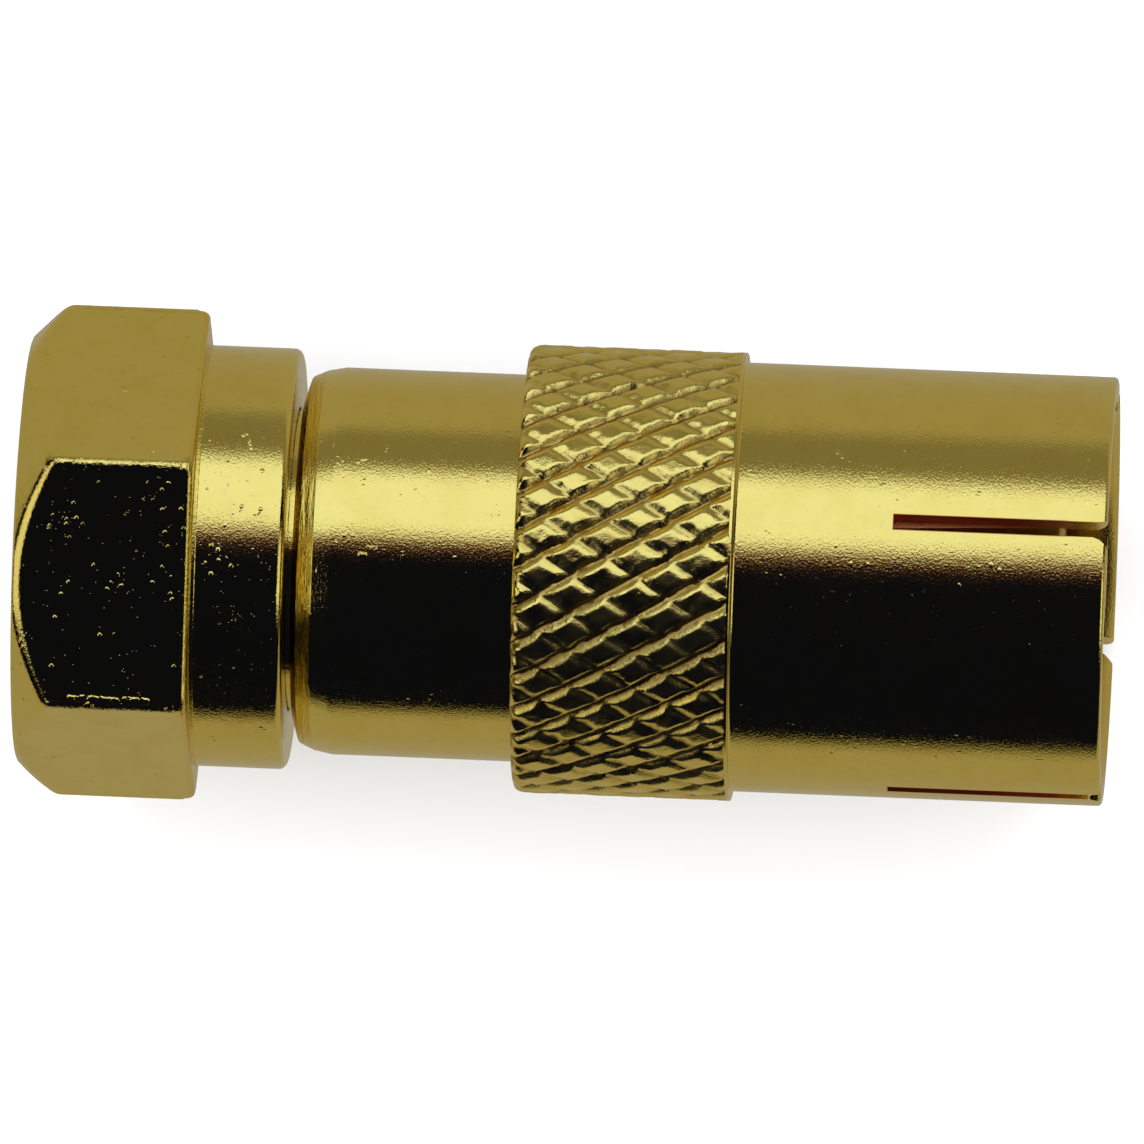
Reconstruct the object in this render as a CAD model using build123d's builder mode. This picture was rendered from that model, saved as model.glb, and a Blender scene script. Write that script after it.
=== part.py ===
"""Straight coaxial adapter: a threaded plug with a captive hex nut at one end, a slotted push-on socket
at the other.

The adapter lies along X. X = 0 is the plug's reference plane, which is the front face of the neck that
butts against the mating jack. The plug points to -X, the socket opens to +X, and one flat of the nut
faces up. Nearly every piece is turned about X, so outlines are drawn in the XY plane as (x, radius).
"""

import os
from math import radians, tan

from build123d import *

os.makedirs("parts", exist_ok=True)

# --- coupling nut: 3/8-32 thread inside, 11 mm across flats ---
NUT_MOUTH = -4.9
HEX_LENGTH = 4.5
ACROSS_FLATS = 11.0
HEX_EDGE_ROUND = 0.12
NOSE_RADIUS = 5.4
CORNER_CHAMFER = 1.0
HEX_BACK_ROUND = 0.3
COLLAR_RADIUS = 5.35
COLLAR_END = 1.95
COLLAR_CHAMFER = 0.16
THREAD_PITCH = 25.4 / 32
THREAD_MAJOR = 9.525 / 2
THREAD_DEPTH = 0.5413 * THREAD_PITCH
MOUTH_CHAMFER = 0.1
CHAMBER_RADIUS = 4.9
LIP_FRONT = 1.2
LIP_RADIUS = 3.88

# --- split spring ring that holds the nut on the neck ---
RING_INNER = 3.43
RING_OUTER = 4.5
RING_THICKNESS = 0.6
RING_SIDE_PLAY = 0.03
RING_GAP = 0.8

# --- how far the nut floats along the neck, from its rest place ---
FLOAT_FORWARD = 0.2
FLOAT_BACK = 0.12

# --- front body: neck, shoulder, plain barrel and the tail pressed into the rear shell ---
NECK_RADIUS = 3.8
NECK_CHAMFER = 0.15
NECK_BORE = 2.6
GROOVE_RADIUS = 3.35
GROOVE_PLAY = 0.03
SHOULDER = 2.1
BARREL_RADIUS = 4.92
SHOULDER_ROUND = 0.9
CAVITY_FRONT = 6.1
CAVITY_RADIUS = 3.95
TAIL_END = 10.5
TAIL_CHAMFER = 0.2

# --- rear shell: grip band and slotted socket sleeve ---
GRIP_FRONT = 7.75
GRIP_LENGTH = 5.52
GRIP_RADIUS = 5.7
GRIP_FRONT_ROUND = 0.25
GRIP_BACK_CHAMFER = 0.05
SLEEVE_RADIUS = 5.45
SLEEVE_END = 22.7
RIM_ROUND = 0.1
WEB_FRONT = 11.3
WEB_END = 12.3
WEB_BORE = 3.8
SOCKET_BORE = 4.85
MOUTH_BORE = 4.75
MOUTH_LIP_LENGTH = 1.1
MOUTH_BEVEL = 0.25
SLOT_LENGTH = 5.4
SLOT_WIDTH = 0.4
SLOT_FLARE_LENGTH = 0.35
SLOT_FLARE_WIDTH = 0.66
SLOT_ANGLE = 64.6

# --- centre pin ---
PIN_TIP = -4.4
PIN_RADIUS = 0.5
PIN_POINT_LENGTH = 0.45
PIN_POINT_RADIUS = 0.2
SHANK_RADIUS = 0.7
PIN_TAIL_RADIUS = 0.6
PIN_TAIL_END = 10.4

# --- socket contact ---
BOSS_FRONT = 7.5
BOSS_RADIUS = 1.2
CONTACT_COLLAR_FRONT = 8.5
CONTACT_COLLAR_LENGTH = 0.8
CONTACT_COLLAR_RADIUS = 2.3
CONTACT_RADIUS = 1.8
CONTACT_BORE = 1.2
CONTACT_BORE_START = 11.6
CONTACT_END = 21.5
CONTACT_TIP_CHAMFER = 0.3
CONTACT_ENTRY_CHAMFER = 0.2
CONTACT_SLOT_LENGTH = 5.6
CONTACT_SLOT_WIDTH = 0.35
PIN_HOLE_SPARE = 0.15

# --- insulators ---
FACE_RECESS = 0.05
FLANGE_RADIUS = 4.9
NOSE_END = 14.6
NOSE_RADIUS_REAR = 3.0
NOSE_CHAMFER = 0.2

# --- places that follow from the sizes above ---
HEX_BACK = NUT_MOUTH + HEX_LENGTH
THREAD_MINOR = THREAD_MAJOR - THREAD_DEPTH
RING_BACK = LIP_FRONT - RING_SIDE_PLAY
RING_FRONT = RING_BACK - RING_THICKNESS
CHAMBER_FRONT = RING_FRONT - RING_SIDE_PLAY
GROOVE_FRONT = RING_FRONT - FLOAT_FORWARD - GROOVE_PLAY
GROOVE_BACK = RING_BACK + FLOAT_BACK + GROOVE_PLAY
GRIP_END = GRIP_FRONT + GRIP_LENGTH
LIP_START = SLEEVE_END - MOUTH_LIP_LENGTH
CONTACT_COLLAR_END = CONTACT_COLLAR_FRONT + CONTACT_COLLAR_LENGTH


# Groove of the nut's thread: a 60 degree V with a flat root, wound from one pitch outside the mouth into
# the ring chamber. It reaches a little inside the crests, so that it cuts them cleanly.
THREAD_OVERCUT = 0.05
ROOT_HALF_WIDTH = THREAD_PITCH / 8
THREAD_START = NUT_MOUTH - THREAD_PITCH
THREAD_RUN = CHAMBER_FRONT + THREAD_PITCH / 2 - THREAD_START
CREST_HALF_WIDTH = ROOT_HALF_WIDTH + (THREAD_DEPTH + THREAD_OVERCUT) * tan(radians(30))

with BuildPart() as thread_groove:
    with BuildLine() as thread_path:
        Helix(
            pitch=THREAD_PITCH,
            height=THREAD_RUN,
            radius=THREAD_MINOR,
            center=(THREAD_START, 0, 0),
            direction=(1, 0, 0),
        )
    groove_start = Plane(origin=thread_path.line @ 0, x_dir=(1, 0, 0), z_dir=thread_path.line % 0)
    with BuildSketch(groove_start):
        with BuildLine():
            Polyline(
                (-CREST_HALF_WIDTH, -THREAD_OVERCUT),
                (-ROOT_HALF_WIDTH, THREAD_DEPTH),
                (ROOT_HALF_WIDTH, THREAD_DEPTH),
                (CREST_HALF_WIDTH, -THREAD_OVERCUT),
                close=True,
            )
        make_face()
    sweep(path=thread_path.line, is_frenet=True)

# Coupling nut: a chamfered hexagon with a round collar, threaded inside, with a lip behind the ring.
with BuildPart() as coupling_nut:
    with BuildSketch(Plane.YZ.offset(NUT_MOUTH)):
        RegularPolygon(radius=ACROSS_FLATS / 2, side_count=6, major_radius=False)
    extrude(amount=HEX_LENGTH)
    fillet(coupling_nut.edges().filter_by(Axis.X), radius=HEX_EDGE_ROUND)
    with BuildSketch(Plane.XY) as hex_envelope:
        with BuildLine():
            Polyline(
                (NUT_MOUTH, 0),
                (NUT_MOUTH, NOSE_RADIUS),
                (NUT_MOUTH + CORNER_CHAMFER, NOSE_RADIUS + CORNER_CHAMFER),
                (HEX_BACK, NOSE_RADIUS + CORNER_CHAMFER),
                (HEX_BACK, 0),
                close=True,
            )
        make_face()
        back_corner = hex_envelope.vertices().group_by(Axis.X)[-1].sort_by(Axis.Y)[-1]
        fillet(back_corner, radius=HEX_BACK_ROUND)
    revolve(axis=Axis.X, mode=Mode.INTERSECT)
    with BuildSketch(Plane.XY) as collar_outline:
        with BuildLine():
            Polyline(
                (NUT_MOUTH + CORNER_CHAMFER, 0),
                (NUT_MOUTH + CORNER_CHAMFER, COLLAR_RADIUS),
                (COLLAR_END, COLLAR_RADIUS),
                (COLLAR_END, 0),
                close=True,
            )
        make_face()
        collar_corner = collar_outline.vertices().group_by(Axis.X)[-1].sort_by(Axis.Y)[-1]
        chamfer(collar_corner, length=COLLAR_CHAMFER)
    revolve(axis=Axis.X)
    with BuildSketch(Plane.XY):
        with BuildLine():
            Polyline(
                (NUT_MOUTH, 0),
                (NUT_MOUTH, THREAD_MAJOR + MOUTH_CHAMFER),
                (NUT_MOUTH + MOUTH_CHAMFER + THREAD_DEPTH, THREAD_MINOR),
                (CHAMBER_FRONT, THREAD_MINOR),
                (CHAMBER_FRONT, CHAMBER_RADIUS),
                (LIP_FRONT, CHAMBER_RADIUS),
                (LIP_FRONT, LIP_RADIUS),
                (COLLAR_END, LIP_RADIUS),
                (COLLAR_END, 0),
                close=True,
            )
        make_face()
    revolve(axis=Axis.X, mode=Mode.SUBTRACT)
    add(thread_groove.part, mode=Mode.SUBTRACT)
coupling_nut.part.label = "coupling_nut"
export_step(coupling_nut.part, "parts/coupling_nut.step")

# Retaining ring: flat spring ring with a gap, seated in the neck's groove and in the nut's chamber.
with BuildPart() as retaining_ring:
    with BuildSketch(Plane.YZ.offset(RING_FRONT)):
        Circle(RING_OUTER)
        Circle(RING_INNER, mode=Mode.SUBTRACT)
        with Locations((0, -RING_OUTER)):
            Rectangle(RING_GAP, RING_OUTER, mode=Mode.SUBTRACT)
    extrude(amount=RING_THICKNESS)
retaining_ring.part.label = "retaining_ring"
export_step(retaining_ring.part, "parts/retaining_ring.step")

# Front body: grooved neck, rounded shoulder, plain barrel and a tail that is pressed into the rear shell.
with BuildPart() as front_body:
    with BuildSketch(Plane.XY) as body_outline:
        with BuildLine():
            Polyline(
                (0, NECK_BORE),
                (0, NECK_RADIUS),
                (GROOVE_FRONT, NECK_RADIUS),
                (GROOVE_FRONT, GROOVE_RADIUS),
                (GROOVE_BACK, GROOVE_RADIUS),
                (GROOVE_BACK, NECK_RADIUS),
                (SHOULDER, NECK_RADIUS),
                (SHOULDER, BARREL_RADIUS),
                (TAIL_END, BARREL_RADIUS),
                (TAIL_END, CAVITY_RADIUS),
                (CAVITY_FRONT, CAVITY_RADIUS),
                (CAVITY_FRONT, NECK_BORE),
                close=True,
            )
        make_face()
        barrel_corners = body_outline.vertices().group_by(Axis.Y)[-1].sort_by(Axis.X)
        fillet(barrel_corners[0], radius=SHOULDER_ROUND)
        chamfer(barrel_corners[-1], length=TAIL_CHAMFER)
        neck_corner = body_outline.vertices().group_by(Axis.X)[0].sort_by(Axis.Y)[-1]
        chamfer(neck_corner, length=NECK_CHAMFER)
    revolve(axis=Axis.X)
front_body.part.label = "front_body"
export_step(front_body.part, "parts/front_body.step")

# Rear shell: the grip band over the press seat, a web that stops the rear insulator, and the socket
# sleeve with four spring slots that flare at the mouth. The band's diamond knurl isn't cut here: the
# band's outside is the circle of the knurl's crests.
with BuildPart() as rear_shell:
    with BuildSketch(Plane.XY) as shell_outline:
        with BuildLine():
            Polyline(
                (GRIP_FRONT, BARREL_RADIUS),
                (GRIP_FRONT, GRIP_RADIUS),
                (GRIP_END, GRIP_RADIUS),
                (GRIP_END, SLEEVE_RADIUS),
                (SLEEVE_END, SLEEVE_RADIUS),
                (SLEEVE_END, MOUTH_BORE + MOUTH_BEVEL),
                (SLEEVE_END - MOUTH_BEVEL, MOUTH_BORE),
                (LIP_START, MOUTH_BORE),
                (LIP_START - (SOCKET_BORE - MOUTH_BORE), SOCKET_BORE),
                (WEB_END, SOCKET_BORE),
                (WEB_END, WEB_BORE),
                (WEB_FRONT, WEB_BORE),
                (WEB_FRONT, BARREL_RADIUS),
                close=True,
            )
        make_face()
        grip_corners = shell_outline.vertices().group_by(Axis.Y)[-1].sort_by(Axis.X)
        fillet(grip_corners[0], radius=GRIP_FRONT_ROUND)
        chamfer(grip_corners[-1], length=GRIP_BACK_CHAMFER)
        rim_corner = shell_outline.vertices().group_by(Axis.X)[-1].sort_by(Axis.Y)[-1]
        fillet(rim_corner, radius=RIM_ROUND)
    revolve(axis=Axis.X)
    for slot_angle in (SLOT_ANGLE, SLOT_ANGLE + 90):
        with BuildSketch(Plane.XY.rotated((slot_angle - 90, 0, 0))):
            with BuildLine():
                Polyline(
                    (SLEEVE_END - SLOT_LENGTH, -SLOT_WIDTH / 2),
                    (SLEEVE_END - SLOT_FLARE_LENGTH, -SLOT_WIDTH / 2),
                    (SLEEVE_END, -SLOT_FLARE_WIDTH / 2),
                    (SLEEVE_END, SLOT_FLARE_WIDTH / 2),
                    (SLEEVE_END - SLOT_FLARE_LENGTH, SLOT_WIDTH / 2),
                    (SLEEVE_END - SLOT_LENGTH, SLOT_WIDTH / 2),
                    close=True,
                )
            make_face()
        extrude(amount=1.5 * SLEEVE_RADIUS, both=True, mode=Mode.SUBTRACT)
rear_shell.part.label = "rear_shell"
export_step(rear_shell.part, "parts/rear_shell.step")

# Front insulator: fills the neck, with a flange in the body's cavity that stops it moving forward.
with BuildPart() as front_insulator:
    with BuildSketch(Plane.XY):
        with BuildLine():
            Polyline(
                (FACE_RECESS, SHANK_RADIUS),
                (FACE_RECESS, NECK_BORE),
                (CAVITY_FRONT, NECK_BORE),
                (CAVITY_FRONT, CAVITY_RADIUS),
                (BOSS_FRONT, CAVITY_RADIUS),
                (BOSS_FRONT, SHANK_RADIUS),
                close=True,
            )
        make_face()
    revolve(axis=Axis.X)
front_insulator.part.label = "front_insulator"
export_step(front_insulator.part, "parts/front_insulator.step")

# Rear insulator: hub in the cavity, flange clamped between the body's tail and the web, and a nose that
# carries the contact inside the socket.
with BuildPart() as rear_insulator:
    with BuildSketch(Plane.XY) as insulator_outline:
        with BuildLine():
            Polyline(
                (CONTACT_COLLAR_FRONT, CONTACT_COLLAR_RADIUS),
                (CONTACT_COLLAR_FRONT, CAVITY_RADIUS),
                (TAIL_END, CAVITY_RADIUS),
                (TAIL_END, FLANGE_RADIUS),
                (WEB_FRONT, FLANGE_RADIUS),
                (WEB_FRONT, WEB_BORE),
                (WEB_END, WEB_BORE),
                (WEB_END, NOSE_RADIUS_REAR),
                (NOSE_END, NOSE_RADIUS_REAR),
                (NOSE_END, CONTACT_RADIUS),
                (CONTACT_COLLAR_END, CONTACT_RADIUS),
                (CONTACT_COLLAR_END, CONTACT_COLLAR_RADIUS),
                close=True,
            )
        make_face()
        nose_corner = insulator_outline.vertices().group_by(Axis.X)[-1].sort_by(Axis.Y)[-1]
        chamfer(nose_corner, length=NOSE_CHAMFER)
    revolve(axis=Axis.X)
rear_insulator.part.label = "rear_insulator"
export_step(rear_insulator.part, "parts/rear_insulator.step")

# Centre pin: pointed pin of the plug, a thicker shank in the insulator and a tail in the contact's hole.
with BuildPart() as centre_pin:
    with BuildSketch(Plane.XY):
        with BuildLine():
            Polyline(
                (PIN_TIP, 0),
                (PIN_TIP, PIN_POINT_RADIUS),
                (PIN_TIP + PIN_POINT_LENGTH, PIN_RADIUS),
                (FACE_RECESS, PIN_RADIUS),
                (FACE_RECESS, SHANK_RADIUS),
                (BOSS_FRONT, SHANK_RADIUS),
                (BOSS_FRONT, PIN_TAIL_RADIUS),
                (PIN_TAIL_END, PIN_TAIL_RADIUS),
                (PIN_TAIL_END, 0),
                close=True,
            )
        make_face()
    revolve(axis=Axis.X)
centre_pin.part.label = "centre_pin"
export_step(centre_pin.part, "parts/centre_pin.step")

# Socket contact: boss and collar held by the insulators, and a long tube with four spring fingers.
with BuildPart() as socket_contact:
    with BuildSketch(Plane.XY):
        with BuildLine():
            Polyline(
                (BOSS_FRONT, PIN_TAIL_RADIUS),
                (BOSS_FRONT, BOSS_RADIUS),
                (CONTACT_COLLAR_FRONT, BOSS_RADIUS),
                (CONTACT_COLLAR_FRONT, CONTACT_COLLAR_RADIUS),
                (CONTACT_COLLAR_END, CONTACT_COLLAR_RADIUS),
                (CONTACT_COLLAR_END, CONTACT_RADIUS),
                (CONTACT_END - CONTACT_TIP_CHAMFER, CONTACT_RADIUS),
                (CONTACT_END, CONTACT_RADIUS - CONTACT_TIP_CHAMFER),
                (CONTACT_END, CONTACT_BORE + CONTACT_ENTRY_CHAMFER),
                (CONTACT_END - CONTACT_ENTRY_CHAMFER, CONTACT_BORE),
                (CONTACT_BORE_START, CONTACT_BORE),
                (CONTACT_BORE_START, 0),
                (PIN_TAIL_END + PIN_HOLE_SPARE, 0),
                (PIN_TAIL_END + PIN_HOLE_SPARE, PIN_TAIL_RADIUS),
                close=True,
            )
        make_face()
    revolve(axis=Axis.X)
    with BuildSketch(Plane.YZ.offset(CONTACT_END - CONTACT_SLOT_LENGTH)):
        with PolarLocations(0, 2, angular_range=180):
            Rectangle(3 * CONTACT_RADIUS, CONTACT_SLOT_WIDTH)
    extrude(amount=CONTACT_SLOT_LENGTH, mode=Mode.SUBTRACT)
socket_contact.part.label = "socket_contact"
export_step(socket_contact.part, "parts/socket_contact.step")
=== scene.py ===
"""Looks of a straight coaxial adapter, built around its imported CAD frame.

The adapter lies along X on a pale table, with its threaded plug at -X and its push-on socket at +X. All
lengths are in millimetres until a mesh is made, which turns them into metres. X = 0 is the plug's
reference plane, and radii are from the X axis.
"""

from math import cos, pi, radians, sin, tan

import bmesh
import bpy
import numpy as np
from mathutils import Matrix, Vector


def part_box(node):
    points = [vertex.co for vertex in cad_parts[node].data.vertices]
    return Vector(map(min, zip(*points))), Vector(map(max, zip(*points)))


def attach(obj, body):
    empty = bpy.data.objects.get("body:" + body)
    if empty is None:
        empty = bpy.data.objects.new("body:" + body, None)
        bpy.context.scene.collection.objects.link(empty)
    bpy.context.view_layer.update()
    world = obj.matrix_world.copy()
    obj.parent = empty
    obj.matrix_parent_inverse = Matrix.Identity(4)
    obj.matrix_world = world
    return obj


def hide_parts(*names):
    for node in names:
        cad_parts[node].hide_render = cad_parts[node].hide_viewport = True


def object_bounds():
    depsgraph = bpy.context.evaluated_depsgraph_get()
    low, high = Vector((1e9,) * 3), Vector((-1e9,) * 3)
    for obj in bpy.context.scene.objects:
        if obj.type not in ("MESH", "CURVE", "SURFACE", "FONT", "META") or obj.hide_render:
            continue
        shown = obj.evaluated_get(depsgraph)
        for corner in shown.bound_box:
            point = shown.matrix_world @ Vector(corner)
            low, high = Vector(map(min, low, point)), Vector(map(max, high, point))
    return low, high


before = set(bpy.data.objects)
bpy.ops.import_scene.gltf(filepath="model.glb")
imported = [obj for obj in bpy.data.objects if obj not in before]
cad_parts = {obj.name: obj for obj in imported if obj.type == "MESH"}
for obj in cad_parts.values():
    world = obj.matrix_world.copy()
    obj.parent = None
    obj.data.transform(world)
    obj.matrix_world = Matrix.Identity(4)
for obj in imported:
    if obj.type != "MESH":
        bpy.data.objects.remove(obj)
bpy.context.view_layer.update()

METRE = 1000.0


def ends(node):
    """Lowest and highest x of a CAD node."""
    low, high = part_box(node)
    return low.x * METRE, high.x * METRE


def outer_radius(node):
    """Largest radius of a round CAD node."""
    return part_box(node)[1].y * METRE


# --- coupling nut ---
NUT_MOUTH, NUT_BACK = ends("coupling_nut")
HALF_ACROSS_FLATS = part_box("coupling_nut")[1].z * METRE
HEX_BACK = NUT_MOUTH + 4.5
NOSE_RADIUS = 5.4
NOSE_CHAMFER = 1.0
HEX_BACK_ROUND = 0.3
HEX_BACK_EDGE = 0.13
COLLAR_RADIUS = 5.35
COLLAR_ROUND = 0.2
THREAD_PITCH = 25.4 / 32
THREAD_MAJOR = 9.525 / 2
THREAD_DEPTH = 0.5413 * THREAD_PITCH
MOUTH_CHAMFER = 0.1
CHAMBER_FRONT = 0.54
CHAMBER_BACK = 1.2
CHAMBER_RADIUS = 4.9
LIP_RADIUS = 3.88
NUT_COLUMNS = 480
CORNER_CROWDING = 0.72
EDGE_BLEND = 0.19

# --- front body ---
TAIL_END = ends("front_body")[1]
BARREL_RADIUS = outer_radius("front_body")
NECK_RADIUS = 3.8
NECK_BORE = 2.6
NECK_GROOVE = (0.34, 1.32, 3.35)
SHOULDER = 2.1
SHOULDER_CREASE = 2.64
CAVITY_FRONT = 6.1
CAVITY_RADIUS = 3.95

# --- rear shell ---
GRIP_FRONT, SLEEVE_END = ends("rear_shell")
GRIP_RADIUS = outer_radius("rear_shell")
GRIP_LENGTH = 5.52
GRIP_FRONT_ROUND = 0.25
GRIP_RIM = 0.1
SLEEVE_RADIUS = 5.45
WEB_FRONT, WEB_END = 11.3, 12.3
WEB_BORE = 3.8
SOCKET_BORE = 4.85
MOUTH_BORE = 4.75
MOUTH_LIP = 1.1
SLOT_LENGTH = 5.4
SLOT_WIDTH = 0.4
SLOT_FLARE = 0.35
SLOT_ANGLE = 64.6

# --- diamond knurl of the grip band ---
KNURL_STARTS = 36
KNURL_LEAD = 31.3
KNURL_SAMPLES = 16
KNURL_DEEP = 0.18
KNURL_DEEP_WIDTH = 0.50
KNURL_SHALLOW = 0.10
KNURL_SHALLOW_WIDTH = 0.56
KNURL_PHASE = -0.34
KNURL_CROSS_PHASE = 0.2
KNURL_END = GRIP_FRONT + GRIP_LENGTH - GRIP_RIM
KNURL_EDGE_ANGLE = 50.0

# --- pin, contact and insulators ---
PIN_TIP = ends("centre_pin")[0]
PIN_RADIUS = 0.5
PIN_SHANK_RADIUS = 0.7
PIN_TAIL_RADIUS = 0.6
PIN_TAIL_END = 10.4
CONTACT_END = ends("socket_contact")[1]
CONTACT_RADIUS = 1.8
CONTACT_BORE = 1.2
CONTACT_BORE_START = 11.6
CONTACT_SLOT_LENGTH = 5.6
CONTACT_SLOT_WIDTH = 0.35
CONTACT_COLLAR = (8.5, 9.3, 2.3)
BOSS_RADIUS = 1.2
BOSS_HOLE_END = 10.55
NECK_SEAT = 0.05
PLUG_INSULATOR_END = 7.5
REAR_RIM_RADIUS = 4.9
SPIGOT_END = 14.6
SPIGOT_RADIUS = 3.0

SEGMENTS = 256
EDGE_ANGLE = 38.0


# ---------------------------------------------------------------- node trees

class Socket:
    """A node's output, on which Python's arithmetic adds Math nodes."""

    def __init__(self, tree, output):
        self.tree = tree
        self.output = output

    def __add__(self, other):
        return self.tree.math("ADD", self, other)

    def __radd__(self, other):
        return self.tree.math("ADD", other, self)

    def __sub__(self, other):
        return self.tree.math("SUBTRACT", self, other)

    def __rsub__(self, other):
        return self.tree.math("SUBTRACT", other, self)

    def __mul__(self, other):
        return self.tree.math("MULTIPLY", self, other)

    def __rmul__(self, other):
        return self.tree.math("MULTIPLY", other, self)

    def __truediv__(self, other):
        return self.tree.math("DIVIDE", self, other)

    def __rtruediv__(self, other):
        return self.tree.math("DIVIDE", other, self)

    def __mod__(self, other):
        return self.tree.math("FLOORED_MODULO", self, other)

    def __pow__(self, other):
        return self.tree.math("POWER", self, other)

    def __abs__(self):
        return self.tree.math("ABSOLUTE", self)


class Node:
    """A node whose outputs are read by name or number."""

    def __init__(self, tree, node):
        self.tree = tree
        self.node = node

    def __getitem__(self, key):
        return Socket(self.tree, self.node.outputs[key])


class Tree:
    """A node tree that one method fills."""

    def __init__(self, tree):
        self.tree = tree

    def node(self, kind, settings=None, inputs=None):
        """Adds a node: its settings are set first, and then its sockets get values or links."""
        node = self.tree.nodes.new(kind)
        for name, value in (settings or {}).items():
            setattr(node, name, value)
        for key, value in (inputs or {}).items():
            if isinstance(value, Socket):
                self.tree.links.new(value.output, node.inputs[key])
            else:
                node.inputs[key].default_value = value
        return Node(self, node)

    def math(self, operation, *values):
        return self.node("ShaderNodeMath", {"operation": operation}, dict(enumerate(values)))[0]

    def vector(self, operation, *values, scale=None):
        inputs = dict(enumerate(values))
        if scale is not None:
            inputs["Scale"] = scale
        return self.node("ShaderNodeVectorMath", {"operation": operation}, inputs)[0]

    def limit(self, value, low=0.0, high=1.0):
        return self.math("MINIMUM", self.math("MAXIMUM", value, low), high)

    def step(self, value, low, high):
        """Smooth change from 0 at low to 1 at high."""
        settings = {"interpolation_type": "SMOOTHSTEP"}
        inputs = {"Value": value, "From Min": low, "From Max": high}
        return self.node("ShaderNodeMapRange", settings, inputs)["Result"]

    def noise(self, vector, scale, detail=2.0, roughness=0.5):
        inputs = {"Vector": vector, "Scale": scale, "Detail": detail, "Roughness": roughness}
        return self.node("ShaderNodeTexNoise", {}, inputs)["Fac"]

    def cells(self, vector, scale):
        """Distance to the nearest of scattered points."""
        return self.node("ShaderNodeTexVoronoi", {}, {"Vector": vector, "Scale": scale})["Distance"]

    def mix(self, share, first, second):
        """Mix of two colours."""
        return self.node("ShaderNodeMix", {"data_type": "RGBA"}, {0: share, 6: first, 7: second})[2]

    def split(self, vector):
        """X, Y and Z of a vector, read by name."""
        return self.node("ShaderNodeSeparateXYZ", {}, {0: vector})

    def from_axis(self, parts):
        """Distance from the X axis."""
        return self.math("SQRT", parts["Y"] * parts["Y"] + parts["Z"] * parts["Z"])

    def attribute(self, name):
        return self.node("ShaderNodeAttribute", {"attribute_name": name})["Fac"]

    def between(self, value, low, high, fade):
        """1 from low to high and 0 outside them, with this much fade past each end."""
        return self.step(value, low - fade, low) * (1 - self.step(value, high, high + fade))

    def millimetres(self):
        """Place on a piece, in millimetres."""
        place = self.node("ShaderNodeTexCoord")["Object"]
        return self.vector("SCALE", place, scale=METRE)

    def micron_bump(self, height):
        """Normal of a surface with this height in microns."""
        inputs = {"Strength": 1.0, "Distance": MICRON, "Height": height}
        return self.node("ShaderNodeBump", {}, inputs)["Normal"]


# ---------------------------------------------------------------- materials

OLIVE_GOLD = (0.80, 0.635, 0.155, 1.0)
WARM_GOLD = (0.76, 0.56, 0.12, 1.0)
# Saturated gold for a painted reflection of light bounced between gold faces.
BOUNCED_LIGHT_GOLD = (0.78, 0.55, 0.05, 1.0)
GREY_GOLD = (0.62, 0.50, 0.16, 1.0)
# Brown of the contact's tarnish, and of the painted shade in the knurl's groove floors.
TARNISH_AND_GROOVE_SHADE_BROWN = (0.42, 0.25, 0.05, 1.0)
# Reddish painted shade for the slots' walls and the bore.
SLOT_SHADE_RED = (0.66, 0.22, 0.07, 1.0)
MICRON = 1e-6


def new_material(name):
    """A material, its tree and its Principled shader."""
    material = bpy.data.materials.new(name)
    material.use_nodes = True
    tree = Tree(material.node_tree)
    return material, tree, material.node_tree.nodes["Principled BSDF"]


def feed(tree, shader, **sockets):
    """Links or sets the Principled shader's sockets, named with _ for a space."""
    for name, value in sockets.items():
        key = name.replace("_", " ")
        if isinstance(value, Socket):
            tree.tree.links.new(value.output, shader.inputs[key])
        else:
            shader.inputs[key].default_value = value


def near_spots(tree, millimetres, spots):
    """1 inside the (x, y, z, radius) spots and 0 away from them."""
    share = 0.0
    for x, y, z, radius in spots:
        away = tree.node("ShaderNodeVectorMath", {"operation": "DISTANCE"}, {0: millimetres, 1: (x, y, z)})
        share = tree.math("MAXIMUM", 1 - tree.step(away["Value"], 0.55 * radius, radius), share)
    return share


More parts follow.
